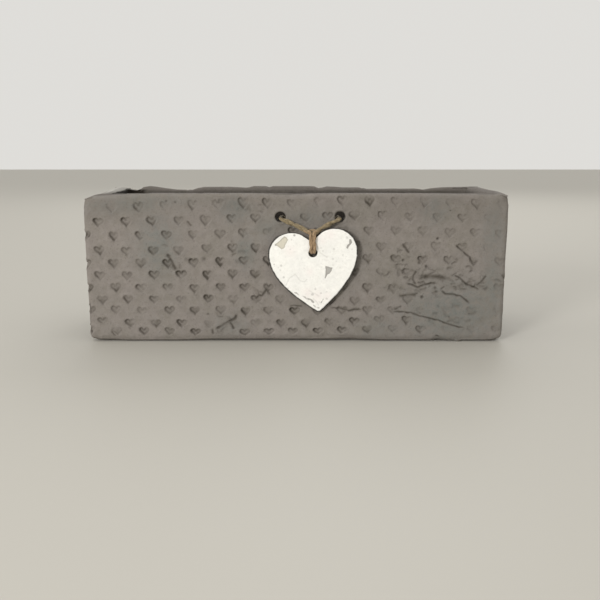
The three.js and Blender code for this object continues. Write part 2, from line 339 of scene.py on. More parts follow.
def lay_plies(bundle, route, diameter, seed, lay=22.0, taper=(0.25, 0.25)):
    """Two plies laid round each other along a route, each ridged by its fibres.

    lay is the length of one turn in mm, and taper how much thinner each end is drawn.
    """
    rng = np.random.default_rng(seed)
    first, second, distances = carried_frames(route)
    from_end = distances[-1] - distances
    drawn = 1 - taper[0] * smooth_step(1 - distances / END_LENGTH)
    drawn -= taper[1] * smooth_step(1 - from_end / END_LENGTH)
    for ply in range(2):
        turn = 2 * math.pi * distances / lay + ply * math.pi + 0.3 * np.sin(distances / 2.3 + seed)
        offset = PLY_OFFSET * diameter * drawn
        centres = route + first * (offset * np.cos(turn))[:, None]
        centres += second * (offset * np.sin(turn))[:, None]
        swell = 1 + 0.07 * np.sin(distances / 1.7 + 2 * ply + seed) + 0.05 * np.sin(distances / 0.6 + ply)
        radii = PLY_RADIUS * diameter * drawn * swell
        angles = np.arange(PLY_SIDES) * 2 * math.pi / PLY_SIDES
        fibre = 5 * (angles[None, :] - turn[:, None] * 0.8) + rng.random() * 6
        ridges = 1 + 0.075 * np.sin(fibre) + 0.04 * np.sin(2.3 * fibre + 1.3)
        bundle.add(tube(centres, radii, PLY_SIDES, ridges), 0.5 + 0.25 * (ply - 0.5))


def lay_fuzz(bundle, route, diameter, count, seed, reach=1.3):
    """Loose fibres that leave the twine at a low angle and curl."""
    rng = np.random.default_rng(seed)
    first, second, _ = carried_frames(route)
    ahead = np.cross(first, second)
    for _ in range(count):
        k = int(rng.integers(2, len(route) - 3))
        angle = rng.random() * 2 * math.pi
        out = first[k] * math.cos(angle) + second[k] * math.sin(angle)
        beside = np.cross(ahead[k], out)
        way = 1 if rng.random() < 0.5 else -1
        long = rng.uniform(1.6, 4.2)
        lift = rng.uniform(0.25, 1.0) * reach
        curl = rng.uniform(-0.9, 0.9)
        t = np.linspace(0, 1, 6)[:, None]
        line = (
            route[k]
            + out * (0.42 * diameter + lift * t**1.6 - 0.35 * lift * t**3)
            + ahead[k] * way * long * t * 0.8
            + beside * curl * long * 0.5 * t**2
        )
        bundle.add(tube(line, np.linspace(0.06, 0.025, 6), 3), rng.uniform(0.5, 1.0))


def in_tag(points):
    """Points of the tag's own frame, in mm, put where the tag hangs."""
    turn = Matrix.Rotation(TAG_LEAN, 3, "X") @ Matrix.Rotation(-TAG_TILT, 3, "Y")
    return np.array(points, float) @ np.array(turn).T + np.array(TAG_HOLE)


def loop_route():
    """The V of the twine: from the left hole's mouth under the hitch to the right hole's mouth."""
    left, right = ((x, MOUTH_Y, TWINE_Z) for x in MOUTH_XS)
    x, y, z = HITCH
    return smooth_route(
        [
            left,
            (-5.0, -57.6, 87.2),
            (2.9, -59.2, 83.8),
            (x - 2.6, y - 0.1, z + 0.9),
            (x, y, z - 0.3),
            (x + 2.6, y + 0.1, z + 1.1),
            (18.9, -59.2, 83.9),
            (24.9, -57.8, 86.7),
            right,
        ],
        ROUTE_STEP,
    )


def run_route(side):
    """From a hole's mouth through the front wall, and inside to the knot."""
    x = MOUTH_XS[0] if side > 0 else MOUTH_XS[1]
    return smooth_route(
        [
            (x, MOUTH_Y + 0.3, TWINE_Z),
            (x, FRONT_Y + 5, TWINE_Z),
            (x, INSIDE_Y - 0.8, TWINE_Z),
            (x + side * 1.3, INSIDE_Y + 3.4, TWINE_Z - 0.8),
            (x + side * 5.5, INSIDE_Y + 5.4, TWINE_Z - 3.3),
            (x + side * 11.3, INSIDE_Y + 5, TWINE_Z - 7.3),
            (x + side * 16.4, INSIDE_Y + 4.7, TWINE_Z - 10.1),
        ],
        ROUTE_STEP,
    )


def strands_route():
    """The hitch's two strands: from the left arm down through the hole, up behind, over and back."""
    off = TAG_THICKNESS / 2 + TWINE_GAP + HITCH_TWINE / 2
    half = STRANDS_APART / 2
    slant = 1 / HITCH_ABOVE_HOLE
    down = [
        (-off, 10.5),
        (-off, 7),
        (-off, 3.2),
        (-0.85 * off, 1.5),
        (-0.5 * off, 0.8),
        (0, 0.6),
        (0.5 * off, 0.8),
        (0.85 * off, 1.5),
        (off, 3.2),
        (off, 7),
        (off, 10.6),
        (0.75 * off, 12.1),
    ]
    left = [(slant * z - half, y, z) for y, z in down]
    right = [(slant * z + half, y, z) for y, z in reversed(down)]
    top = [(1 - 0.5 * half, 0.5 * off, 13.3), (1 + 0.5 * half, 0.5 * off, 13.3)]
    middle = in_tag(left + top + right)
    hitch = np.array(HITCH)
    # Each strand's last points on its arm: the distance from the hitch, then how far in front
    left_steps = ((6.5, 0.3), (4.2, 1.1), (1.7, 1.9))
    right_steps = ((1.4, 1.6), (3.6, 0.8), (5.6, 0.1))
    ends = []
    for mouth_x, steps in zip(MOUTH_XS, (left_steps, right_steps)):
        arm = np.array((mouth_x, MOUTH_Y, TWINE_Z)) - hitch
        arm /= np.linalg.norm(arm)
        ends.append([hitch + arm * far + (0, -forward, -0.15 * forward) for far, forward in steps])
    return smooth_route(np.vstack([ends[0], middle, ends[1]]), ROUTE_STEP)


def crossing_route():
    """The bight of the hitch: once round the two strands, low in front and high behind."""
    x, y, z = HITCH
    turns = np.linspace(-0.15, 2.1, 26) * math.pi
    route = [
        (
            x + 2.5 * math.cos(t),
            y + 0.5 - 1.7 * math.sin(t),
            z + 0.6 - 1.1 * math.sin(t) + 0.25 * t / math.pi,
        )
        for t in turns
    ]
    return smooth_route(route, 0.3)


def make_twine():
    loop, strands = loop_route(), strands_route()
    bundle = Bundle()
    lay_plies(bundle, loop, LOOSE * TWINE, 3)
    lay_fuzz(bundle, loop, TWINE, 90, 31, reach=0.75)
    v_cord = bundle.made("twine_loop_cord")
    v_cord.data.materials.append(jute_material("jute_twine", 0.0))

    bundle = Bundle()
    lay_plies(bundle, strands, LOOSE * HITCH_TWINE, 5, lay=16.0)
    lay_fuzz(bundle, strands, HITCH_TWINE, 70, 51, reach=0.8)
    hitch_cord = bundle.made("hitch_cord")
    hitch_cord.data.materials.append(jute_material("jute_hitch", 0.6))

    crossing = crossing_route()
    bundle = Bundle()
    lay_plies(bundle, crossing, 2.0, 7, lay=8.0)
    lay_fuzz(bundle, crossing, 2.0, 24, 71, reach=0.7)
    bight = bundle.made("hitch_bight")
    bight.data.materials.append(jute_material("jute_bight", 0.45))

    knot = make_back_knot()
    runs = []
    for name, side, seed in (("left", 1, 13), ("right", -1, 17)):
        route = run_route(side)
        bundle = Bundle()
        lay_plies(bundle, route, TWINE, seed)
        lay_fuzz(bundle, route, TWINE, 50, seed * 10)
        run = bundle.made(f"twine_{name}_inner_run")
        run.data.materials.append(bpy.data.materials["jute_twine"])
        runs.append((run, route, f"twine_{name}_run"))

    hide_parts("twine_left_arm", "twine_right_arm")
    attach(v_cord, "twine_loop")
    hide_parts("hitch_left_strand", "hitch_right_strand")
    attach(hitch_cord, "tag")
    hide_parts("hitch_knot")
    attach(bight, "hitch")
    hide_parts("twine_knot")
    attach(knot, "trough")
    for run, route, node in runs:
        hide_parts(node)
        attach(run, "trough")


def make_back_knot():
    """An overhand knot with two frayed tails, hanging inside the front wall."""
    x, y, z = BACK_KNOT
    t = np.linspace(0.25, 2 * math.pi - 0.25, 60)
    knot_line = np.stack(
        [
            x + 1.25 * (np.sin(t) + 1.9 * np.sin(2 * t)),
            y + 0.1 + 1.15 * np.sin(3 * t),
            z + 0.2 - 1.15 * (np.cos(t) - 1.9 * np.cos(2 * t)),
        ],
        axis=1,
    )
    bundle = Bundle()
    body = smooth_route(knot_line, 0.3)
    lay_plies(bundle, body, 2.7, 19, lay=8.0)
    tails = (
        [(x - 0.8, y, z - 1.5), (x - 2.6, y + 0.4, z - 7), (x - 4, y + 0.2, z - 14.5)],
        [(x + 0.8, y, z - 1.5), (x + 2.4, y + 0.6, z - 8), (x + 5.2, y + 0.8, z - 16)],
    )
    for n, tail in enumerate(tails):
        route = smooth_route(tail, ROUTE_STEP)
        lay_plies(bundle, route, 2.7, 23 + n, taper=(0.1, 0.5))
        lay_fuzz(bundle, route, TWINE, 26, 230 + n)
        rng = np.random.default_rng(240 + n)
        end, ahead = route[-1], route[-1] - route[-6]
        ahead = ahead / np.linalg.norm(ahead)
        for _ in range(22):
            start = end - ahead * rng.uniform(0.5, 2.0) + rng.normal(0, 0.35, 3)
            splay = rng.normal(0, 1, 3) * (0.9, 0.35, 0.5)
            s = np.linspace(0, 1, 6)[:, None]
            line = start + ahead * s * rng.uniform(2.0, 4.0) + splay * s**1.7
            bundle.add(tube(line, np.linspace(0.09, 0.03, 6), 3), rng.uniform(0.4, 1.0))
    lay_fuzz(bundle, body, 2.7, 40, 29)
    return bundle.made("twine_back_knot")


# The cement trough
def half_sizes(z):
    """Half the trough's length and depth at heights of mm."""
    share = np.clip(z / HEIGHT, 0, 1)
    return (
        (BASE_LENGTH + (RIM_LENGTH - BASE_LENGTH) * share) / 2,
        (BASE_DEPTH + (RIM_DEPTH - BASE_DEPTH) * share) / 2,
    )


def shape_trough():
    """The trough from a cube: drawn in at the base, hollowed, rounded, and drilled for the twine."""
    deselect_all()
    bpy.ops.mesh.primitive_cube_add(size=1, location=(0, 0, HEIGHT * MM / 2))
    trough = bpy.context.object
    trough.name = "cement_trough"
    trough.scale = (RIM_LENGTH * MM, RIM_DEPTH * MM, HEIGHT * MM)
    settle(trough)
    bpy.ops.object.mode_set(mode="EDIT")
    choose(trough, "FACE", lambda centre, normal: normal.z < -0.9)
    drawn_in = (BASE_LENGTH / RIM_LENGTH, BASE_DEPTH / RIM_DEPTH, 1)
    bpy.ops.transform.resize(value=drawn_in, center_override=(0, 0, 0))
    choose(trough, "FACE", lambda centre, normal: normal.z > 0.9)
    bpy.ops.mesh.inset(thickness=WALL * MM, depth=0)
    bpy.ops.mesh.extrude_region_move(TRANSFORM_OT_translate={"value": (0, 0, (FLOOR - HEIGHT) * MM)})
    rim_half = (RIM_LENGTH / 2, RIM_DEPTH / 2)
    shrink = [(down - WALL) / (up - WALL) for down, up in zip(half_sizes(FLOOR), rim_half)]
    bpy.ops.transform.resize(value=(*shrink, 1), center_override=(0, 0, FLOOR * MM))

    def upright(a, b, outer):
        if abs(a.z - b.z) < HEIGHT / 2:
            return False
        return (abs(a.x) > RIM_LENGTH / 2 - WALL / 2) == outer

    for outer, radius in ((True, OUTER_CORNER), (False, INNER_CORNER)):
        choose(trough, "EDGE", lambda a, b: upright(a, b, outer))
        bpy.ops.mesh.bevel(offset=radius * MM, segments=6, affect="EDGES")
    roundings = ((HEIGHT, RIM_ROUNDING, 3), (0, BASE_ROUNDING, 4), (FLOOR, FLOOR_ROUNDING, 4))
    for height, radius, segments in roundings:
        choose(trough, "EDGE", lambda a, b: abs(a.z - height) < 0.01 and abs(b.z - height) < 0.01)
        bpy.ops.mesh.bevel(offset=radius * MM, segments=segments, affect="EDGES")
    bpy.ops.object.mode_set(mode="OBJECT")
    for x, diameter in zip(HOLE_XS, HOLE_DIAMETERS):
        deselect_all()
        bpy.ops.mesh.primitive_cylinder_add(
            vertices=40,
            radius=diameter * MM / 2,
            depth=3 * WALL * MM,
            location=(x * MM, (FRONT_Y + WALL / 2) * MM, HOLE_Z * MM),
            rotation=(math.pi / 2, 0, 0),
        )
        drill = bpy.context.object
        settle(drill)
        apply_modifier(trough, "BOOLEAN", object=drill, operation="DIFFERENCE", solver="EXACT")
        bpy.data.objects.remove(drill)
    apply_modifier(trough, "REMESH", mode="VOXEL", voxel_size=TROUGH_GRAIN * MM)
    return trough


# The rows of pressed hearts: their height on the wall, then how every second row is shifted
PITCH = 18.38
ROWS = (97.8, 87.4, 76.8, 66.4, 57.2, 48.6, 39.4, 30.8, 22.8, 14.2, 7.8)
ROW_SHIFTS = (-1.5, 7.5)
# Hearts, mm: width, height, the top row's height, depth, the lip round them, and how far they keep
# from a twine hole
HEART_WIDE, HEART_TALL, TOP_HEART_TALL = 7.7, 8.0, 9.6
HEART_DEPTH, LIP_HEIGHT = 1.35, 0.2
HOLE_CLEARANCE = 8.6

# How the rows bend along the front wall: x, the shift along the wall, the rise of the upper rows,
# and that of the lowest
BENDS = [
    (-200, 0, 0, 0), (-140, 0, 0, 0.8), (-121, 1.3, -0.3, 0), (-84, 2.1, 0.4, -1.0),
    (-62, 3.0, 0.9, -1.8), (-45, 2.4, 2.0, -1.4), (-28, 0.6, 2.2, -0.8), (8, -0.5, 3.0, -0.6),
    (44, -2.4, 3.8, 0.9), (62, -2.0, 3.5, 1.6), (80, -0.9, 3.1, 1.6), (100, 0, 2.7, 1.4),
    (136, -0.5, 2.0, 1.4), (200, 0, 0, 0),
]

# How far the rim is worn down, mm, along each side
FRONT_RIM = [
    (-150, 2.6), (-136, 2.1), (-126, 1.7), (-119, 1.0), (-109, 0.7), (-99, 0.1), (-92, 0.0),
    (-81, 0.5), (-68, 0.1), (-33, 0.0), (-12, 1.0), (3, 1.4), (11, 0.4), (42, 0.0), (88, 0.0),
    (115, 1.0), (133, 0.8), (144, 0.6), (150, 1.6),
]
BACK_RIM = [
    (-150, 1.2), (-144, 1.3), (-138, 2.1), (-134, 3.0), (-130.6, 3.4), (-128, 2.2), (-125.6, 0.7),
    (-121, 0.0), (-116, 0.5), (-109, 1.5), (-99, 2.9), (-86, 3.1), (-82, 1.7), (-77, 0.8), (-60, 0.5),
    (-52, 0.8), (-42, 1.1), (-38, 0.8), (-35, 0.0), (-26, 0.1), (-22.5, 0.9), (-19, 0.0), (11, 0.0),
    (14.5, 0.3), (17.9, 1.7), (21, 1.3), (25, 0.4), (31, 0.6), (38, 1.1), (51, 1.0), (55, 1.6),
    (58, 2.3), (78, 2.2), (97, 2.1), (105, 2.9), (110, 2.0), (115, 1.4), (122, 0.8), (142, 0.6),
    (150, 0.4),
]
END_RIM_LEFT = [(-55, 2.9), (-48, 3.0), (-25, 3.2), (0, 2.6), (15, 2.0), (30, 1.3), (49, 1.2), (55, 1.2)]
END_RIM_RIGHT = [(-55, 1.4), (-47, 0.5), (-26, 0.0), (0, 0.3), (49, 0.4), (55, 0.4)]
# How far the base's front edge is off the table
FRONT_BASE = [
    (-150, 1.2), (-143, 0.8), (-134, 0.9), (-124, 0.1), (-85, 0.2), (-58, 1.2), (-20, 1.3), (10, 1.1),
    (30, 1.5), (41, 1.9), (46, 1.2), (60, 0.4), (75, 0.3), (98, 0.2), (103, 1.4), (108, 0.3),
    (116, 0.0), (138, 0.1), (150, 1.0),
]

# Cracks in the front wall: (x, z) points in mm, half width, depth, and how far one side stands up
CRACKS = [
    ([(-4.7, 26.5), (-0.4, 26.9), (4.7, 26.5)], 0.42, 0.7, 0.1),
    ([(24.8, 25.3), (31.1, 24.7), (38.0, 22.9), (42.3, 24.1), (47.3, 24.0)], 0.5, 1.0, 0.15),
    (
        [
            (68.4, 21.7), (73.4, 22.6), (82.8, 21.4), (89.2, 19.1), (95.4, 17.8), (103.0, 15.9),
            (109.3, 13.3), (114.4, 11.8), (122.6, 10.1),
        ],
        0.42, 1.0, 0.25,
    ),
    ([(70.9, 23.9), (75.8, 26.5)], 0.5, 0.5, 0.1),
    ([(79.1, 43.3), (83.5, 42.0), (87.2, 40.1), (91.5, 42.0), (95.8, 43.0), (100.8, 43.3)], 0.55, 1.2, 0.4),
    ([(86.3, 52.1), (83.9, 48.9), (83.4, 45.7), (85.9, 42.0)], 0.5, 0.9, 0.35),
    (
        [
            (104.1, 38.2), (107.3, 35.3), (113.5, 34.8), (117.8, 33.8), (122.4, 30.6), (124.9, 28.0),
        ],
        0.5, 1.1, 0.45,
    ),
    ([(112.9, 49.5), (117.3, 46.4), (121.9, 42.6), (126.9, 40.7), (131.4, 38.2)], 0.55, 1.1, 0.5),
    ([(135.8, 48.9), (133.4, 45.7), (131.7, 43.9)], 0.5, 0.7, 0.2),
    ([(113.2, 71.3), (116.5, 67.6), (120.3, 64.5), (123.5, 62.0), (126.2, 57.0)], 0.45, 0.9, 0.15),
    ([(75.2, 71.9), (77.8, 68.8), (80.5, 65.0)], 0.6, 0.8, 0.3),
    ([(73.1, 33.8), (79.7, 34.5), (86.8, 35.0)], 0.8, 0.5, 0.2),
    ([(87.5, 46.5), (94.0, 48.3), (101.0, 48.0), (108.0, 46.5)], 1.2, 0.5, 0.2),
    ([(100.9, 4.3), (104.7, 1.1), (111.0, 0.1)], 0.6, 1.0, 0.1),
    ([(-42.4, 20.9), (-43.9, 17.1), (-48.4, 15.1), (-53.8, 11.6), (-58.3, 9.4)], 0.75, 1.2, 0.35),
    ([(-47.7, 14.8), (-44.8, 9.4)], 0.65, 0.8, 0.2),
    ([(-60.6, 9.4), (-60.3, 4.6)], 0.6, 0.7, 0.1),
    ([(-133.6, 7.8), (-131.5, 3.1)], 0.5, 0.7, 0.1),
    ([(-28.8, 31.7), (-26.5, 34.7), (-24.2, 34.1), (-21.3, 38.2), (-18.4, 34.7)], 0.6, 1.0, 0.15),
    ([(-148.6, 29.0), (-149.4, 22.4), (-149.6, 12.4), (-148.0, 5.1)], 0.7, 1.4, 0.3),
    ([(-91.6, 64.9), (-88.4, 58.8), (-85.6, 52.6)], 0.8, 0.8, 0.2),
    ([(-76.6, 88.0), (-73.9, 84.0)], 0.5, 0.4, 0.1),
]
# How dark the cracks are painted, with grime and painted shade
CRACK_DARKNESS = 1.45
# Pits: x, z, radius and depth
PITS = [
    (76.2, 59.8, 1.0, 1.4), (88.0, 57.9, 1.1, 1.3), (92.9, 55.2, 0.9, 0.9), (86.8, 35.7, 0.8, 1.2),
    (90.5, 33.1, 1.0, 1.6), (76.3, 51.1, 0.9, 0.7), (100.4, 37.0, 1.2, 1.0), (99.7, 39.7, 1.0, 0.9),
    (100.3, 75.2, 0.8, 1.7), (-56.5, 41.4, 0.7, 0.6), (-63.5, 20.6, 0.7, 0.7),
    (-84.6, 101.2, 0.9, 0.8), (-90.9, 101.8, 0.8, 0.5), (-65.4, 60.8, 1.4, 0.6),
]
# Where the wet wall was crumpled into fine folds: x, z, half width, half height, strength
CRUMPLES = [
    (92, 46, 19, 13, 1.0), (121, 44, 18, 13, 0.85), (72, 57, 12, 11, 0.75), (-52, 13, 13, 8, 0.6),
    (-38, 94, 14, 9, 0.5), (-85, 62, 10, 15, 0.4), (-26, 36, 9, 6, 0.5), (108, 20, 30, 10, 0.3),
    (-40, 66, 9, 12, 0.35),
]
# Where hearts differ in strength, most of them because the wet wall was dragged there: x, z, half
# width, half height, and the factor
DRAGS = [
    (108, 44, 27, 15, 0.12), (116, 20, 33, 15, 0.35), (-52, 11, 12, 9, 0.3), (142, 60, 9, 60, 0.5),
    (-125, 99, 26, 6, 0.95), (-20, 78, 9, 6, 0.4), (10, 97, 16, 5, 0.6), (-149, 98, 5, 12, 0.5),
    (-149, 46, 5, 40, 1.45), (-143, 36, 4, 6, 0.5), (72, 99, 26, 5, 1.25), (-139, 88, 5, 5, 1.3),
    (21.8, 91, 5, 5, 0.65),
]
# Cool grey-green patches on the front wall: x, z, half width, half height, strength
COOL = [
    (-98, 71, 14, 22, 0.8), (-43, 96, 10, 9, 0.9), (-36, 66, 7, 12, 0.8), (-48, 12, 13, 9, 0.55),
    (112, 22, 36, 24, 0.9), (-112, 101, 42, 7, 0.55), (140, 80, 9, 22, 0.6), (98, 96, 10, 12, 0.6),
    (10, 90, 16, 7, 0.5), (-128, 100, 12, 8, 0.4), (60, 10, 20, 9, 0.5), (-20, 82, 10, 10, 0.5),
    (140, 40, 9, 30, 0.7), (30, 60, 18, 20, 0.4),
]


def heart_line(count=36):
    """A heart one wide, about its middle."""
    t = np.linspace(0, 2 * math.pi, count, endpoint=False)
    x = 16 * np.sin(t) ** 3
    z = 13 * np.cos(t) - 5 * np.cos(2 * t) - 2 * np.cos(3 * t) - np.cos(4 * t) + 2.5
    return np.stack([x, z], axis=1) / 32


def round_the_wall(points):
    """How far round the trough each point is, in mm from the front wall's middle, and how far outside.

    The way round is positive to the right and negative to the left, and both end at the back's middle.
    """
    half_length, half_depth = half_sizes(points[:, 2])
    x, y = points[:, 0], points[:, 1]
    flat_x, flat_y = half_length - OUTER_CORNER, half_depth - OUTER_CORNER
    over_x, over_y = np.abs(x) - flat_x, np.abs(y) - flat_y
    corner = OUTER_CORNER * np.arctan2(np.maximum(over_x, 0), np.maximum(over_y, 1e-6))
    quarter = OUTER_CORNER * math.pi / 2
    half_front = RIM_LENGTH / 2 - OUTER_CORNER
    half_end = RIM_DEPTH / 2 - OUTER_CORNER
    in_corner = (over_x > 0) & (over_y > 0)
    on_long = over_y >= over_x
    to_front = np.where(on_long, np.minimum(np.abs(x), half_front), half_front)
    from_front = np.where(in_corner, half_front + corner, to_front)
    end_way = half_front + quarter + half_end + y * half_end / flat_y
    front_way = np.where(in_corner | on_long, from_front, end_way)
    whole_half = 2 * half_front + 2 * quarter + 2 * half_end
    back_way = whole_half - from_front
    way = np.where(y < 0, front_way, np.where(in_corner | on_long, back_way, end_way))
    signed = np.sign(x) * way
    outside = np.where(in_corner, np.hypot(over_x, over_y), np.maximum(over_x, over_y)) - OUTER_CORNER
    return signed, outside, whole_half


def heart_places(whole_half):
    """Each pressed heart's way round the trough, its height, its row, and whether it is in front."""
    half_front, half_end = RIM_LENGTH / 2 - OUTER_CORNER, RIM_DEPTH / 2 - OUTER_CORNER
    end_way = half_front + half_end + OUTER_CORNER * math.pi / 2
    walls = (
        (0, half_front + 6),
        (end_way, half_end - 3),
        (whole_half, half_front - 3),
        (-end_way, half_end - 3),
    )
    bend_at, *bends = zip(*BENDS)
    places = []
    for wall_way, reach in walls:
        in_front = wall_way == 0
        for k, row in enumerate(ROWS):
            upper, lowest = np.clip((row - 38) / 20, 0, 1), np.clip((20 - row) / 6, 0, 1)
            for n in range(-9, 10):
                place = ROW_SHIFTS[k % 2] + PITCH * n
                if abs(place) > reach:
                    continue
                shift, rise, sag = 0, 0, 0
                if in_front:
                    shift, rise, sag = (np.interp(place, bend_at, bend) for bend in bends)
                x, z = place + shift, row + rise * upper + sag * lowest
                near = [at for at in HOLE_XS if math.hypot(x - at, z - HOLE_Z) < HOLE_CLEARANCE]
                if in_front and near:
                    if abs(x - near[0]) < 5:
                        continue
                    x = near[0] + math.copysign(HOLE_CLEARANCE, x - near[0])
                places.append((wall_way + x, z, k, in_front))
    return places


def press_hearts(way, height, whole_half):
    """How deep the hearts are pressed at each point of the walls, and how dark their grooves are painted,
    with grime and painted shade.
    """
    rng = np.random.default_rng(42)
    outline = heart_line()
    depth = np.zeros(len(way))
    dark = np.zeros(len(way))
    flat = np.stack([way, height, np.zeros(len(way))], axis=1)
    wobble = lumps(flat, 2.6, 3.3)
    patches = lumps(flat, 5.0, 1.7)
    for x, z, row, in_front in heart_places(whole_half):
        # Each heart's own place, size, turn, strength and slope
        centre = x + rng.normal(0, 0.35)
        middle = z + rng.normal(0, 0.3)
        wide = HEART_WIDE * (1 + rng.normal(0, 0.035))
        tall = TOP_HEART_TALL if row == 0 else HEART_TALL - 0.09 * row
        tall *= 1 + rng.normal(0, 0.035)
        turn = rng.normal(0, 0.07) + (rng.normal(0, 0.1) if row == 0 else 0)
        strength = float(np.clip(rng.normal(0.92, 0.13), 0.5, 1.15)) * (0.8 if row == 0 else 1)
        lean = rng.normal(3.5, 0.35)
        slope = rng.uniform(0.28, 0.55) + (0.2 if row == 0 else 0)
        wall = rng.uniform(0.6, 0.8)
        # How strongly the photograph shows the hearts in this part of the front wall
        if in_front:
            for drag_x, drag_z, half_wide, half_tall, left in DRAGS:
                off = ((centre - drag_x) / half_wide) ** 2 + ((middle - drag_z) / half_tall) ** 2
                strength *= left + (1 - left) * float(smooth_step((off - 0.7) / 0.6))
            if centre > 58:
                strength *= 0.74
        # The points near the heart, seen from its middle
        gap = (way - centre + whole_half) % (2 * whole_half) - whole_half
        near = np.flatnonzero((np.abs(gap) < 7.5) & (np.abs(height - middle) < 8.5))
        if not len(near):
            continue
        local = np.stack([gap[near], height[near] - middle], axis=1)
        c, s = math.cos(turn), math.sin(turn)
        local = local @ np.array([[c, -s], [s, c]])
        shape = outline * (wide, tall)
        far, _, _ = distance_to_line(local, np.vstack([shape, shape[:1]]))
        inward = np.where(inside_line(local, shape), far, -far) + 0.3 * wobble[near]
        pressed = smooth_step(inward / wall + 0.3)
        # The groove is deepest on the side it leans to, and its floor is puffed up
        reach = (local @ np.array([math.cos(lean), math.sin(lean)])) / (wide / 2)
        tilt = np.clip(0.68 + slope * reach, 0.15, 1.15)
        puff = 1 - 0.6 * smooth_step((inward - 0.9) / 1.7)
        # A part of the outline is lost, and the rest is patchy
        lost, lost_at = rng.uniform(0, 0.7), rng.uniform(-2.2, 2.2)
        around = np.cos(np.arctan2(local[:, 1], local[:, 0]) - lost_at)
        patchy = np.clip(0.9 + 0.55 * patches[near], 0.35, 1.3) * (1 - lost * smooth_step(around))
        sunk = HEART_DEPTH * strength * pressed * tilt * puff * patchy
        lip = LIP_HEIGHT * strength * bell((inward + 0.8) / 0.65)
        depth[near] = np.maximum(depth[near], sunk) - lip
        # Grime and painted shade in the groove, darkest on the side it leans to
        groove = bell((inward - 0.6) / 0.85) * np.clip(tilt + 0.1, 0, 1.1) + 0.25 * pressed
        dark[near] = np.maximum(dark[near], strength * patchy * groove)
    return depth, dark


def crumpled_strokes():
    """Short curved folds in the crumpled places: rows like those of CRACKS, and how dark each is."""
    rng = np.random.default_rng(77)
    strokes = []
    for x, z, half_wide, half_tall, strength in CRUMPLES:
        for _ in range(int(strength * half_wide * half_tall / 8)):
            middle = np.array((x, z)) + rng.normal(0, 0.55, 2) * (half_wide, half_tall)
            angle, long, bend = rng.normal(-0.3, 0.65), rng.uniform(2.2, 7.0), rng.normal(0, 0.22)
            along = np.array((math.cos(angle), math.sin(angle)))
            across = np.array((-along[1], along[0]))
            line = [
                tuple(middle + long * (t * along + bend * (1 - 4 * t * t) * across))
                for t in (-0.5, -0.2, 0.15, 0.5)
            ]
            width, deep = rng.uniform(0.45, 0.95), rng.uniform(0.4, 0.9) * strength**0.5
            strokes.append((line, width, deep, rng.uniform(0.25, 0.6) * strength, rng.uniform(0.3, 0.75)))
    return strokes


def work_front(way, height):
    """Cracks, folds and pits of the front wall: how deep each point is sunk, and how dark it is painted,
    with grime and painted shade.
    """
    cracks = [(*crack, CRACK_DARKNESS) for crack in CRACKS]
    places = np.stack([way, height], axis=1)
    depth = np.zeros(len(way))
    dark = np.zeros(len(way))
    spots = np.stack([way, height, np.zeros(len(way))], axis=1)
    waver = lumps(spots, 2.2, 5.5)
    for line, width, deep, stand, darkness in cracks + crumpled_strokes():
        line = np.array(line)
        low, high = line.min(axis=0) - 7, line.max(axis=0) + 7
        near = np.flatnonzero(((places > low) & (places < high)).all(axis=1))
        if not len(near):
            continue
        bent = places[near] + 0.35 * waver[near, None]
        far, side, along = distance_to_line(bent, line)
        ends = smooth_step(along / 0.15 + 0.25) * smooth_step((1 - along) / 0.15 + 0.25)
        ends = ends * (0.85 + 0.3 * waver[near])
        reach = width * (0.8 + 0.35 * ends)
        groove = bell(far / reach) * ends
        # Grime and painted shade in and beside each crack and fold
        grime_and_shade = bell(far / (1.3 * reach)) * ends
        shelf = np.where(side > 0, 1, -0.35) * np.exp(-far / 2.6) * smooth_step(far / 0.5) * ends
        depth[near] += deep * groove - stand * shelf
        dark[near] = np.maximum(dark[near], darkness * grime_and_shade)
    for x, z, radius, deep in PITS:
        far = np.hypot(way - x, height - z) + 0.25 * waver
        sunk = bell(far / radius)
        depth += deep * sunk
        # Grime and painted shade in each pit
        dark = np.maximum(dark, 1.2 * sunk)
    for x, z, half_wide, half_tall, strength in CRUMPLES:
        folds = strength * np.exp(-(((way - x) / half_wide) ** 2) - ((height - z) / half_tall) ** 2)
        drawn_out = np.stack([0.45 * way + 0.2 * height, height + 0.35 * way, spots[:, 2]], axis=1)
        depth += 0.95 * folds * lumps(drawn_out + 1.2 * waver[:, None], 4.4, x)
    return depth, dark


def wear(table, at):
    place, amount = zip(*table)
    return np.interp(at, place, amount)


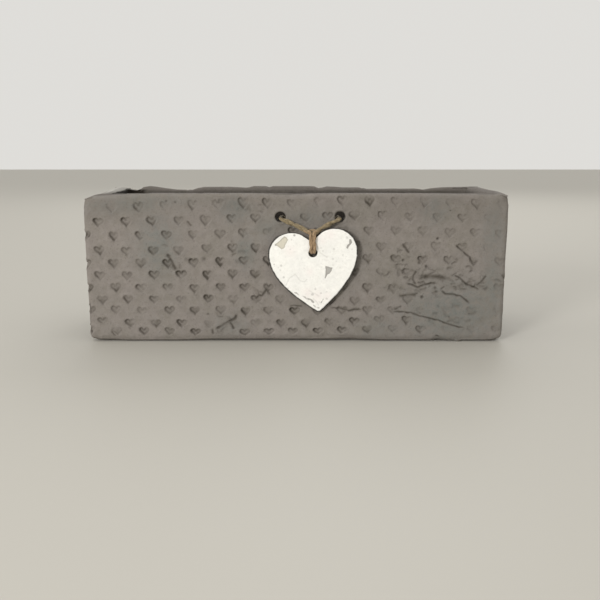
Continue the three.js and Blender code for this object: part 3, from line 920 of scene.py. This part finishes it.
def finish_trough(trough):
    """Presses the hearts, opens the cracks, and wears the rim and the base edge of the cast walls."""
    points, normals = point_array(trough), normal_array(trough)
    way, outside, whole_half = round_the_wall(points)
    x, y, z = points.T.copy()
    # The outer walls, clear of the rim's and the base's roundings
    upright = smooth_step((np.hypot(normals[:, 0], normals[:, 1]) - 0.25) / 0.4)
    outer = smooth_step((outside + 3.2) / 2.0) * smooth_step((z - 0.5) / 3.0)
    outer = outer * smooth_step((HEIGHT + 0.6 - z) / 2.5) * upright
    inner = outside < -6
    sunk, dark = press_hearts(way, z, whole_half)
    at_front = np.flatnonzero((np.abs(way) < 152) & (outside > -5))
    more, darker = work_front(way[at_front], z[at_front])
    sunk[at_front] += more
    dark[at_front] = np.maximum(dark[at_front], darker)
    sunk, dark = sunk * outer, np.clip(dark, 0, 1.3) * outer
    # A low lip round each twine hole
    from_hole = np.min([np.hypot(x - hole_x, z - HOLE_Z) for hole_x in HOLE_XS], axis=0)
    sunk = sunk - 0.35 * bell((from_hole - 5.0) / 0.7) * outer * (y < 0)
    # Unevenness: none under the base, little on the rim and in the holes
    base_face = (normals[:, 2] < -0.6) & (z < 2)
    free = np.where(base_face, 0.0, 1.0) * smooth_step((z + 0.5) / 4.0 + np.where(outside < -8, 1, 0))
    rough = 0.26 * lumps(points, 26.0) + 0.17 * lumps(points, 9.0, 4.0)
    rough = rough * np.where(inner, 1.8, 1.0) + 0.08 * lumps(points, 3.1, 7.0) * ~inner
    top = smooth_step((normals[:, 2] - 0.5) / 0.3) * (z > 100)
    bored = smooth_step((HOLE_DIAMETERS[0] / 2 + 1.2 - from_hole) / 0.8) * (y < 0) * (outside < -0.6)
    smooth = np.maximum(0.5 * top, bored)
    # The front corners are fuller than a round one, up to the rim
    half_length, half_depth = half_sizes(z)
    over_x, over_y = np.abs(x) - half_length + OUTER_CORNER, np.abs(y) - half_depth + OUTER_CORNER
    corner = np.where((over_x > 0) & (over_y > 0) & ~inner & (outside > -3), np.arctan2(over_x, over_y), 0)
    filled = 1.1 * np.sin(2 * corner) ** 2 * (y < 0) * smooth_step((103.5 - z) / 3)
    raised = rough * (1 - smooth) - 0.25 * (1 - top) * (1 - bored) - sunk + filled
    points += normals * (raised * free)[:, None]
    long_side = np.abs(np.abs(y) - half_depth) < np.abs(np.abs(x) - half_length)
    # The rim is worn down and chipped
    drop = np.where(
        long_side,
        np.where(y < 0, wear(FRONT_RIM, x), wear(BACK_RIM, x)),
        np.where(x < 0, wear(END_RIM_LEFT, y), wear(END_RIM_RIGHT, y)),
    )
    chips = np.clip(lumps(points, 4.5, 6.0) - 0.4, 0, 1) * 1.2
    slanted = np.where(long_side & (y < 0), 0.35 + 0.65 * smooth_step((outside + 11) / 9), 1)
    drop = drop * slanted + 0.9 * smooth_step((np.abs(x) - 142) / 8) * smooth_step((-42 - y) / 12)
    points[:, 2] -= drop * smooth_step((z - 84) / 22.0) + chips * smooth_step((z - 103) / 3.5)
    # The base's edge is worn off the table, and drawn in at the ends
    lift = np.where(long_side & (y < 0), wear(FRONT_BASE, x), 0.5 + 0.6 * lumps(points, 14.0, 5.0))
    lift = np.clip(lift, 0, 2) * smooth_step((outside + 9) / 8.0) * smooth_step((10 - z) / 9.0)
    points[:, 2] += lift
    draw_in = 1.2 * np.clip((8 - z) / 8, 0, 1) ** 2 * (np.abs(x) > 120) * ~inner
    points[:, 0] -= np.sign(x) * draw_in
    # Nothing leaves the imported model's box
    points[:, 2] = np.where(base_face & (lift < 0.02), 0, np.clip(points[:, 2], 0, HEIGHT - 0.1))
    points[:, 0] = np.clip(points[:, 0], 0.1 - RIM_LENGTH / 2, RIM_LENGTH / 2 - 0.1)
    points[:, 1] = np.clip(points[:, 1], 0.15 - RIM_DEPTH / 2, RIM_DEPTH / 2 - 0.15)
    set_points(trough, points)
    # Masks: grime and painted shade in the grooves, cracks and pits, and a band of painted shade under the
    # rim
    top_band_shade = 0.26 * smooth_step((z - 76) / 22) * (0.8 + 0.4 * lumps(points, 17.0, 2.0)) * ~inner * (1 - top)
    set_mask(trough, "pressed", np.maximum(dark, top_band_shade))
    # Cool patches: placed ones in front, broad ones elsewhere
    cool = np.zeros(len(way))
    for px, pz, half_wide, half_tall, strength in COOL:
        off = ((x - px) / half_wide) ** 2 + ((z - pz) / half_tall) ** 2
        cool = np.maximum(cool, strength * np.exp(-off))
    cool = np.where(y < -40, cool, 0.5 * smooth_step(lumps(points, 30.0, 9.0) + 0.3))
    set_mask(trough, "cool", cool * ~inner)
    # A pale patch, painted lighter, on the worn corner behind the left end of the front rim
    now = points[:, 2]
    pale_patch = smooth_step((-126 - x) / 3) * smooth_step((y + 24) / 45) * smooth_step((now - 103.9) / 0.6)
    set_mask(trough, "pale", pale_patch * smooth_step((-0.6 - outside) / 2))
    # Shade inside, below that corner, and in the twine holes
    deep = inner * (0.34 + 0.3 * smooth_step((104.9 - now) / 2.4) + 0.3 * smooth_step((102 - z) / 16))
    corner_gap = smooth_step((-121 - x) / 5) * smooth_step((105.0 - now) / 0.5)
    corner_gap = corner_gap * (outside < -10.4) * (y > -30)
    bore = smooth_step((4.9 - from_hole) / 0.9) * smooth_step((-0.5 - outside) / 1.2)
    bore = bore * (outside > -14) * (y < 0)
    set_mask(trough, "shade", np.max([deep, bore, corner_gap], axis=0))
    thin_out(trough, TROUGH_TRIANGLES)


def make_trough():
    trough = shape_trough()
    finish_trough(trough)
    trough.data.materials.clear()
    trough.data.materials.append(cement_material())
    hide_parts("trough")
    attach(trough, "trough")


# The heart tag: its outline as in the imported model, and its wear, in its own frame
TAG_LOBE_RADIUS, TAG_LOBE_SIDEWAYS = 16.0, 15.0
TAG_LOBE_START = math.radians(120)
TAG_NOTCH, TAG_TIP = 8.4, 43.4
TAG_TIP_HALF, TAG_TIP_CUT = 0.9, 0.72
TAG_SHOULDER_DROP, TAG_HIP_DROP, TAG_HIP_WIDTH = 0.33, 0.63, 0.65
# Where the paint has come off, as (x, z) points: bare wood, then greyed wood
BARE = [
    [
        (-26.0, 8.7), (-24.0, 9.9), (-18.9, 13.9), (-17.4, 13.0), (-16.4, 11.2), (-18.1, 8.7),
        (-19.8, 5.6), (-21.7, 4.9), (-23.3, 6.5), (-24.8, 7.8),
    ],
]
GREYED = [
    [
        (8.0, -10.4), (10.2, -11.0), (12.5, -11.9), (11.8, -14.0), (10.3, -15.9), (8.7, -16.4),
        (7.2, -19.2), (6.4, -18.8), (7.4, -16.0), (7.7, -12.8),
    ],
    [
        (26.2, 7.4), (27.6, 7.1), (28.0, 4.8), (26.1, 2.7), (24.7, 0.6), (23.5, 1.4), (24.6, 3.4),
        (26.0, 4.3),
    ],
]
GREY_LINES = [
    ([(-15.9, -27.3), (-14.3, -28.0), (-12.8, -29.7)], 0.42),
    ([(-10.4, -30.4), (-8.7, -31.6)], 0.5),
    ([(-7.9, -32.6), (-4.9, -33.5), (-3.2, -35.7)], 0.6),
    ([(-3.2, -38.0), (-1.7, -39.7), (0.4, -40.4)], 0.4),
    ([(4.2, -34.2), (2.4, -36.4)], 0.35),
]
SPECKS = [
    (-25.4, 8.4, 0.7, 1.0), (-11.8, 13.9, 0.75, 0.9), (-28.1, -5.4, 0.6, 0.6), (-23.2, -6.8, 0.8, 0.5),
    (-25.4, -8.0, 0.5, 0.4), (-22.3, -15.3, 0.9, 0.45), (-14.0, 10.9, 0.5, 0.35),
    (-15.7, 4.3, 0.8, 0.3), (24.8, 8.6, 0.9, 0.35), (15.0, 1.3, 1.0, 0.35), (13.7, -5.7, 0.9, 0.35),
    (15.8, -7.6, 0.7, 0.3), (6.0, 3.0, 0.8, 0.3), (7.1, 0.8, 0.7, 0.3), (27.5, -0.1, 0.6, 0.4),
    (20.9, -3.6, 0.8, 0.3), (18.0, -12.5, 0.8, 0.2), (13.2, -10.1, 0.6, 0.3), (-3.2, -29.8, 1.1, 0.55),
    (2.9, -29.7, 0.7, 0.5), (-0.9, -26.2, 0.9, 0.4), (-20.2, -23.6, 0.8, 0.5), (7.1, -29.0, 0.7, 0.3),
    (6.6, -34.2, 0.9, 0.35), (-24.2, -10.0, 0.6, 0.3),
]
CREASES = [
    [
        (-21.3, -21.3), (-18.6, -16.8), (-14.0, -14.0), (-13.0, -15.6), (-10.9, -19.2), (-7.7, -20.1),
        (-6.2, -18.6),
    ],
    [(1.5, 7.0), (3.6, 4.2), (5.2, -0.5), (9.5, -4.0)],
    [(-5.2, -27.0), (-3.9, -28.0), (-1.0, -29.9), (0.9, -31.6)],
    [(-2.9, -33.2), (-0.6, -36.0), (0.2, -38.1)],
    [(0.9, -35.7), (2.4, -37.3)],
]
# Faint rosy stains in the paint: x, z and radius
ROSY = [
    (-3.5, -13.2, 2.5), (-6.5, -28.5, 4.0), (0.5, -31.5, 4.5), (7.0, -32.0, 3.0), (12.9, 12.0, 4.0),
    (7.5, 8.8, 3.0), (-16, 3.0, 4.0),
]


def tag_outline():
    """The heart of the tag, in its own frame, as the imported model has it."""
    wide = TAG_LOBE_SIDEWAYS + TAG_LOBE_RADIUS
    shoulder, hip = -TAG_SHOULDER_DROP * TAG_TIP, -TAG_HIP_DROP * TAG_TIP
    right = [(0.0, TAG_NOTCH)]
    for angle in np.linspace(TAG_LOBE_START, 0, 26):
        sideways, up = TAG_LOBE_RADIUS * math.cos(angle), TAG_LOBE_RADIUS * math.sin(angle)
        right.append((TAG_LOBE_SIDEWAYS + sideways, up))
    tip = (TAG_TIP_HALF, TAG_TIP_CUT - TAG_TIP)
    handles = ((wide, 0.0), (wide, shoulder), (TAG_HIP_WIDTH * wide, hip), tip)
    a, b, c, d = (np.array(p) for p in handles)
    for t in np.linspace(0, 1, 26)[1:]:
        s = 1 - t
        right.append(tuple(s**3 * a + 3 * s**2 * t * b + 3 * s * t**2 * c + t**3 * d))
    left = [(-x, z) for x, z in reversed(right[1:])]
    return right + left


def make_tag():
    """The tag: its outline drawn as a curve with the hole in it, given thickness, then painted and worn."""
    deselect_all()
    drawing = bpy.data.curves.new("heart_tag_outline", "CURVE")
    drawing.dimensions = "2D"
    drawing.fill_mode = "BOTH"
    drawing.bevel_depth = TAG_EDGE_ROUNDING * MM
    drawing.bevel_resolution = 2
    drawing.offset = -TAG_EDGE_ROUNDING * MM
    drawing.extrude = (TAG_THICKNESS / 2 - TAG_EDGE_ROUNDING) * MM
    hole = [
        (TAG_HOLE_DIAMETER / 2 * math.cos(a), TAG_HOLE_DIAMETER / 2 * math.sin(a))
        for a in np.linspace(0, 2 * math.pi, 32, endpoint=False)
    ]
    for outline in (tag_outline(), hole):
        spline = drawing.splines.new("POLY")
        spline.points.add(len(outline) - 1)
        for point, (x, z) in zip(spline.points, outline):
            point.co = (x * MM, z * MM, 0, 1)
        spline.use_cyclic_u = True
    tag = bpy.data.objects.new("heart_tag_wood", drawing)
    bpy.context.scene.collection.objects.link(tag)
    take_up(tag)
    bpy.ops.object.convert(target="MESH")
    tag = bpy.context.object
    tag.rotation_euler = (math.pi / 2, 0, 0)
    settle(tag)
    apply_modifier(tag, "REMESH", mode="VOXEL", voxel_size=TAG_GRAIN * MM)
    points, normals = point_array(tag), normal_array(tag)
    x, _, z = points.T
    flat = np.stack([x, z], axis=1)
    outline = np.array(tag_outline())
    to_edge, _, _ = distance_to_line(flat, np.vstack([outline, outline[:1]]))
    facing = np.abs(normals[:, 1])
    is_front = normals[:, 1] < 0
    wobble = lumps(points, 1.6, 3.0)

    def chipped(shapes):
        """How surely each point lies in one of the shapes, and how near its rim it is."""
        inside, rim = np.zeros(len(points)), np.zeros(len(points))
        for shape in shapes:
            far, _, _ = distance_to_line(flat, shape + shape[:1])
            inward = np.where(inside_line(flat, shape), far, -far) + 0.22 * wobble
            inside = np.maximum(inside, smooth_step(inward / 0.35 + 0.5))
            rim = np.maximum(rim, bell((inward - 0.35) / 0.35))
        return inside * is_front, rim * is_front

    # Paint that has come off, with grime along the rims of the chips
    bare, bare_rim = chipped(BARE)
    greyed, grey_rim = chipped(GREYED)
    grime = np.maximum(0.45 * bare_rim, 0.55 * grey_rim)
    for line, half in GREY_LINES:
        far, _, _ = distance_to_line(flat, line)
        broken = smooth_step(1.3 + 1.3 * lumps(points, 1.5, 1.0))
        drawn = smooth_step((half - far + 0.25 * wobble) / 0.4 + 0.5)
        greyed = np.maximum(greyed, is_front * drawn * broken)
    for px, pz, radius, strength in SPECKS:
        far = np.hypot(x - px, z - pz) + 0.25 * wobble
        greyed = np.maximum(greyed, strength * is_front * smooth_step((radius - far) / 0.6 + 0.4))
    behind = smooth_step((lumps(points, 5.5, 2.0) - 0.45) / 0.15) * ~is_front * (facing > 0.7)
    bare = np.maximum(bare, 0.8 * behind)
    # Creases in the paint
    crease = np.min([distance_to_line(flat, line)[0] for line in CREASES], axis=0)
    creased = bell(crease / 0.45) * is_front
    greyed = np.maximum(greyed, 0.28 * creased)
    # How far the surface stands up, its worn lower sides the most
    raised = 0.08 * lumps(points, 4.0) + 0.05 * lumps(points * (0.25, 1, 1), 0.9, 4.0) - 0.06
    raised -= 0.07 * creased + 0.16 * np.maximum(bare, 0.7 * greyed)
    sides = 1 - smooth_step((facing - 0.2) / 0.5)
    from_hole = np.hypot(x, z)
    worn_out = 0.85 * smooth_step(np.maximum((3 - z) / 4, (np.abs(x) - 20) / 5)) * (from_hole > 5)
    raised += sides * (0.14 * lumps(points, 5.0, 6.0) - 0.08 + worn_out)
    # A dark band of painted shadow round the outline, painted shade round the hole, and rosy stains
    edge = smooth_step((0.36 + 0.1 * wobble - to_edge) / 0.25)
    edge = np.maximum(edge, smooth_step((TAG_HOLE_DIAMETER / 2 + 0.15 - from_hole) / 0.3))
    rosy = np.max([bell(np.hypot(x - px, z - pz) / radius) for px, pz, radius in ROSY], axis=0)
    points += normals * raised[:, None]
    set_points(tag, in_tag(points))
    masks = {"bare": bare, "greyed": greyed, "grime": grime, "edge": edge, "rosy": rosy}
    for name, values in masks.items():
        set_mask(tag, name, values)
    thin_out(tag, TAG_TRIANGLES)
    tag.data.materials.clear()
    tag.data.materials.append(whitewash_material())
    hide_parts("heart_tag")
    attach(tag, "tag")


# Materials
def new_material(name, roughness):
    """A material with one Principled shader, its node tree and that shader."""
    material = bpy.data.materials.new(name)
    material.use_nodes = True
    shader = material.node_tree.nodes["Principled BSDF"]
    shader.inputs["Roughness"].default_value = roughness
    shader.inputs["Specular IOR Level"].default_value = 0.25
    return material, material.node_tree, shader


def feed(tree, socket, value):
    """Gives a socket another node's output, or a plain value."""
    if isinstance(value, bpy.types.NodeSocket):
        tree.links.new(value, socket)
    else:
        socket.default_value = value


def add_node(tree, kind, **inputs):
    """A new node, with what each of its inputs gets."""
    node = tree.nodes.new(f"ShaderNode{kind}")
    for name, value in inputs.items():
        feed(tree, node.inputs[name.replace("_", " ")], value)
    return node


def arithmetic(tree, operation, *values):
    node = add_node(tree, "Math")
    node.operation = operation
    node.use_clamp = True
    for socket, value in zip(node.inputs, values):
        feed(tree, socket, value)
    return node.outputs[0]


def mottle_group():
    """Two sizes of soft mottling and a fine speckle, as one mask each."""
    found = bpy.data.node_groups.get("mottle")
    if found:
        return found
    group = bpy.data.node_groups.new("mottle", "ShaderNodeTree")
    face = group.interface
    face.new_socket("Vector", in_out="INPUT", socket_type="NodeSocketVector")
    for name in ("Broad", "Fine", "Speckle"):
        face.new_socket(f"{name} Scale", in_out="INPUT", socket_type="NodeSocketFloat")
        face.new_socket(name, in_out="OUTPUT", socket_type="NodeSocketFloat")
    start, end = group.nodes.new("NodeGroupInput"), group.nodes.new("NodeGroupOutput")
    spans = (("Broad", 4.0, 0.35, 0.65), ("Fine", 6.0, 0.35, 0.65), ("Speckle", 2.0, 0.58, 0.7))
    for name, detail, darkest, brightest in spans:
        noise = add_node(group, "TexNoise", Vector=start.outputs["Vector"], Detail=detail, Roughness=0.6)
        feed(group, noise.inputs["Scale"], start.outputs[f"{name} Scale"])
        span = add_node(group, "MapRange", Value=noise.outputs["Fac"], From_Min=darkest, From_Max=brightest)
        feed(group, end.inputs[name], span.outputs["Result"])
    return group


def mottle(tree, vector, broad, fine, speckle):
    """The outputs of one mottle group, at three scales."""
    node = add_node(tree, "Group")
    node.node_tree = mottle_group()
    inputs = {"Vector": vector, "Broad Scale": broad, "Fine Scale": fine, "Speckle Scale": speckle}
    for name, value in inputs.items():
        feed(tree, node.inputs[name], value)
    return node.outputs


def attribute(tree, name):
    node = add_node(tree, "Attribute")
    node.attribute_name = name
    return node.outputs["Fac"]


def tint(tree, below, above, share, strength):
    """Mixes a colour over another by a mask times a strength, and gives the new colour."""
    mix = add_node(tree, "Mix")
    mix.data_type = "RGBA"
    for value, socket in ((below, mix.inputs[6]), (above, mix.inputs[7])):
        feed(tree, socket, (*value, 1) if isinstance(value, tuple) else value)
    feed(tree, mix.inputs[0], arithmetic(tree, "MULTIPLY", share, strength))
    return mix.outputs[2]


def layered(tree, colour, *layers):
    """Lays colours over a first one, each given with its mask and strength."""
    for above, share, strength in layers:
        colour = tint(tree, colour, above, share, strength)
    return colour


def bump(tree, height, strength, distance, **under):
    """The normal for a height. under may name the normal that it adds to."""
    node = add_node(tree, "Bump", Height=height, Strength=strength, Distance=distance, **under)
    return node.outputs["Normal"]


def object_coordinates(tree):
    return add_node(tree, "TexCoord").outputs["Object"]


def blotched(tree, mask, blotches):
    """A mask broken up by blotches: full where they are bright, a third where they are dark."""
    return arithmetic(tree, "MULTIPLY", mask, arithmetic(tree, "MULTIPLY_ADD", blotches, 0.7, 0.3))


def cement_material():
    material, tree, shader = new_material("cast_cement", 0.92)
    place = object_coordinates(tree)
    spots = mottle(tree, place, 45.0, 260.0, 900.0)
    stains = mottle(tree, place, 150.0, 500.0, 900.0)
    colour = layered(
        tree,
        (0.231, 0.204, 0.182),
        ((0.200, 0.182, 0.153), spots["Broad"], 0.8),
        ((0.268, 0.242, 0.223), spots["Fine"], 0.52),
        ((0.150, 0.134, 0.118), stains["Broad"], 0.3),
        ((0.152, 0.160, 0.147), blotched(tree, attribute(tree, "cool"), spots["Fine"]), 1.0),
        ((0.11, 0.098, 0.082), spots["Speckle"], 0.36),
        # Grime and painted shade in the grooves, cracks and pits, and painted shade under the rim
        ((0.066, 0.056, 0.044), attribute(tree, "pressed"), 0.66),
        ((0.50, 0.485, 0.445), attribute(tree, "pale"), 0.9),
        ((0.017, 0.013, 0.009), attribute(tree, "shade"), 1.0),
    )
    feed(tree, shader.inputs["Base Color"], colour)
    grain = bump(tree, spots["Fine"], 0.35, 0.0006)
    feed(tree, shader.inputs["Normal"], bump(tree, spots["Speckle"], 0.3, 0.0003, Normal=grain))
    return material


def whitewash_material():
    material, tree, shader = new_material("whitewashed_wood", 0.6)
    turn = add_node(tree, "Mapping", Vector=object_coordinates(tree), Rotation=(0, TAG_TILT, 0))
    feed(tree, turn.inputs["Location"], tuple(-at * MM for at in TAG_HOLE))
    place = turn.outputs["Vector"]
    spots = mottle(tree, place, 90.0, 420.0, 700.0)
    stretched = add_node(tree, "Mapping", Vector=place, Scale=(1.0, 1.0, 0.12))
    noise = add_node(tree, "TexNoise", Vector=stretched.outputs["Vector"], Scale=900, Detail=5)
    grain = noise.outputs["Fac"]
    paint = layered(
        tree,
        (0.945, 0.927, 0.872),
        ((0.83, 0.82, 0.785), spots["Broad"], 0.6),
        ((0.76, 0.75, 0.70), spots["Fine"], 0.45),
        ((0.88, 0.80, 0.765), attribute(tree, "rosy"), 0.5),
        ((0.70, 0.675, 0.635), spots["Speckle"], 0.4),
    )
    wood = tint(tree, (0.66, 0.62, 0.50), (0.55, 0.51, 0.42), grain, 0.7)
    greyed = tint(tree, (0.42, 0.405, 0.375), (0.30, 0.285, 0.265), grain, 0.8)
    colour = layered(
        tree,
        paint,
        (wood, attribute(tree, "bare"), 0.9),
        (greyed, attribute(tree, "greyed"), 0.9),
        ((0.24, 0.225, 0.20), attribute(tree, "grime"), 0.9),
        # Painted shadow round the outline and painted shade in the hole
        ((0.022, 0.018, 0.014), attribute(tree, "edge"), 0.97),
    )
    feed(tree, shader.inputs["Base Color"], colour)
    brush = bump(tree, grain, 0.12, 0.0003)
    feed(tree, shader.inputs["Normal"], bump(tree, spots["Fine"], 0.15, 0.0003, Normal=brush))
    return material


def jute_material(name, brown):
    """Jute, its long fibres of several tones following each ply: grey at brown 0, and tan at 1."""
    material, tree, shader = new_material(name, 0.9)
    shader.inputs["Sheen Weight"].default_value = 0.15
    strand = add_node(tree, "CombineXYZ")
    for axis, way in zip("XYZ", ("around", "along", "tone")):
        feed(tree, strand.inputs[axis], attribute(tree, f"strand_{way}"))
    drawn = add_node(tree, "Mapping", Vector=strand.outputs["Vector"], Scale=(9.0, 0.28, 5.0))
    noise = add_node(tree, "TexNoise", Vector=drawn.outputs["Vector"], Scale=1.6, Detail=5, Roughness=0.65)
    fibres = noise.outputs["Fac"]
    ramp = add_node(tree, "ValToRGB", Fac=fibres)
    dark, pale = ramp.color_ramp.elements
    for stop, place, grey, tan in (
        (dark, 0.36, (0.11, 0.084, 0.042), (0.21, 0.13, 0.07)),
        (pale, 0.62, (0.33, 0.262, 0.163), (0.49, 0.32, 0.19)),
    ):
        stop.position = place
        stop.color = (*(a + (b - a) * brown for a, b in zip(grey, tan)), 1)
    feed(tree, shader.inputs["Base Color"], ramp.outputs["Color"])
    feed(tree, shader.inputs["Normal"], bump(tree, fibres, 0.6, 0.0003))
    return material


# Floor and light
def set_stage():
    deselect_all()
    bpy.ops.mesh.primitive_plane_add(size=8, location=(0, 0, 0))
    floor = bpy.context.object
    floor.name = "floor"
    material, _, shader = new_material("pale_table", 0.55)
    shader.inputs["Base Color"].default_value = (0.52, 0.50, 0.45, 1)
    floor.data.materials.append(material)
    world = bpy.data.worlds.new("studio")
    bpy.context.scene.world = world
    world.use_nodes = True
    world.node_tree.nodes["Background"].inputs["Color"].default_value = (0.90, 0.885, 0.85, 1)
    world.node_tree.nodes["Background"].inputs["Strength"].default_value = 0.82
    for name, place, size, power in (
        ("key", (-0.78, -1.32, 0.5), 0.36, 14.2),
        ("behind", (0.2, 1.3, 1.1), 1.0, 6),
    ):
        bpy.ops.object.light_add(type="AREA", location=place)
        light = bpy.context.object
        light.name = name
        light.data.size = size
        light.data.energy = power
        away = Vector(place) - Vector((0, 0, 0.05))
        light.rotation_euler = away.to_track_quat("Z", "Y").to_euler()
    bpy.context.scene.view_settings.view_transform = "Standard"


set_camera()
make_twine()
make_trough()
make_tag()
set_stage()
